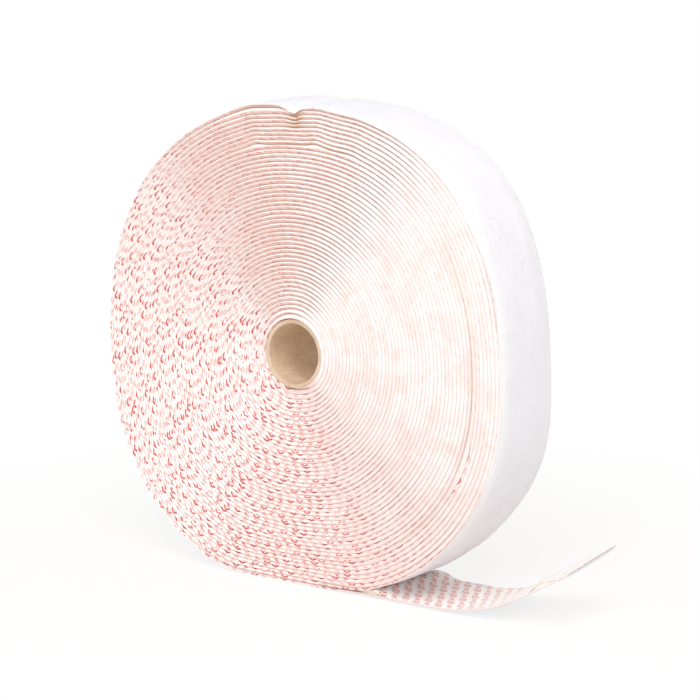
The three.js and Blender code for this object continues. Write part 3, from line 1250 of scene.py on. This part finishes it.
def layStartStrip():
    low, high = boxMm("start_strip")
    angle = footAngle + np.radians(np.linspace(0, startStrip["spread"], startStrip["steps"] + 1))[:, None]
    across = np.linspace(low[1], high[1], startStrip["stepsAcross"] + 1)[None, :]
    reach = coreRadius + startStrip["gap"]
    length = math.radians(startStrip["spread"]) * reach
    x, z = reach * np.cos(angle) + 0 * across, axisHeight + reach * np.sin(angle) + 0 * across
    y, kinds = across + 0 * angle, [0] * startStrip["stepsAcross"]
    piece = layGrid("startStrip", x, y, z, angle[:, 0] * reach, across, kinds, [finishes["startTape"]])
    addModifier(piece, "SOLIDIFY", thickness=startStrip["film"] * mm, offset=1)
    applyModifiers(piece)
    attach(piece, "roll")
    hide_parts("start_strip")
    length * mm


layStartStrip()
print("core wound")

# Camera at the photograph's place, from the roll's near face
viewpoint = dict(
    azimuth=36.268,
    elevation=9.5,
    distance=1269.3,
    lens=116.81,
    sensor=36,
    right=32.27,
    up=2.32,
    farClip=50,  # in metres
)


def placeCamera():
    azimuth, elevation = math.radians(viewpoint["azimuth"]), math.radians(viewpoint["elevation"])
    level = math.cos(elevation)
    back = Vector((math.sin(azimuth) * level, -math.cos(azimuth) * level, math.sin(elevation)))
    right = Vector((math.cos(azimuth), math.sin(azimuth), 0))
    up = back.cross(right)
    nearFace = Vector((0, -linerHalf, axisHeight))
    place = nearFace + back * viewpoint["distance"] + right * viewpoint["right"] + up * viewpoint["up"]
    bpy.ops.object.camera_add()
    camera = bpy.context.object
    camera.name = "photoCamera"
    turned = Matrix((right, up, back)).transposed().to_4x4()
    camera.matrix_world = Matrix.Translation(place * mm) @ turned
    camera.data.sensor_width = viewpoint["sensor"]
    camera.data.lens = viewpoint["lens"]
    camera.data.clip_end = viewpoint["farClip"]
    bpy.context.scene.camera = camera


placeCamera()
print("camera placed")

# Pale floor and soft light, sized and placed in metres
studio = dict(
    floorSize=40,
    floorSteps=2,
    floorColour=(0.96, 0.93, 0.90),
    floorSurface={"Roughness": 0.9, "Specular IOR Level": 0.1},
    glowNear=0.78,
    glowRange=(0.15, 0.45),
    worldLight=0.64,
    background=1.0,
    white=(1, 1, 1, 1),
    key=dict(place=(0.8, -1.15, 1.9), size=1.3, power=24.5),
    fill=dict(place=(0.6, -1.7, 0.9), size=1.0, power=8),
    aim=0.02,  # how far to the right of the core's axis the lamps point
)


def makeFloor():
    bpy.ops.object.select_all(action="DESELECT")
    steps = studio["floorSteps"]
    bpy.ops.mesh.primitive_grid_add(x_subdivisions=steps, y_subdivisions=steps, size=studio["floorSize"])
    floor = bpy.context.object
    floor.name = "studioFloor"
    material, wire, shader = newMaterial("paleFloor", studio["floorSurface"])
    shader.inputs["Base Color"].default_value = (*studio["floorColour"], 1)
    light = {"Color": studio["white"], "Strength": studio["background"]}
    glow = wire.add("ShaderNodeEmission", inputs=light)
    seen = wire.add("ShaderNodeLightPath", output="Is Camera Ray")
    place = wire.objectPlace()
    away = wire.add("ShaderNodeVectorMath", {"operation": "LENGTH"}, {0: place}, "Value")
    near = studio["glowNear"]
    fade = away.between(*studio["glowRange"]) * (1 - near) + near
    plain = Wire(wire.tree, shader.outputs[0])
    mixed = wire.add("ShaderNodeMixShader", inputs={0: seen * fade, 1: plain, 2: glow})
    mixed.into(wire.tree.nodes["Material Output"].inputs["Surface"])
    floor.data.materials.append(material)


def makeWorld():
    world = bpy.data.worlds.new("whiteStudio")
    world.use_nodes = True
    bpy.context.scene.world = world
    wire = Wire(world.node_tree)
    paths = wire.add("ShaderNodeLightPath")
    rays = ("Is Camera Ray", "Is Glossy Ray", "Is Transmission Ray")
    camera, glossy, through = (paths.sibling(ray) for ray in rays)
    seen = camera.most(glossy).most(through)
    strength = seen * (studio["background"] - studio["worldLight"]) + studio["worldLight"]
    back = world.node_tree.nodes["Background"]
    back.inputs["Color"].default_value = studio["white"]
    strength.into(back.inputs["Strength"])


def addLamp(name, place, size, power):
    bpy.ops.object.light_add(type="AREA", location=place)
    lamp = bpy.context.object
    lamp.name = name
    lamp.data.size = size
    lamp.data.energy = power
    towards = Vector((studio["aim"], 0, axisHeight * mm)) - Vector(place)
    lamp.rotation_euler = towards.to_track_quat("-Z", "Y").to_euler()


makeFloor()
makeWorld()
addLamp("keyLamp", **studio["key"])
addLamp("fillLamp", **studio["fill"])
bpy.context.scene.view_settings.view_transform = "Standard"
print("studio ready")
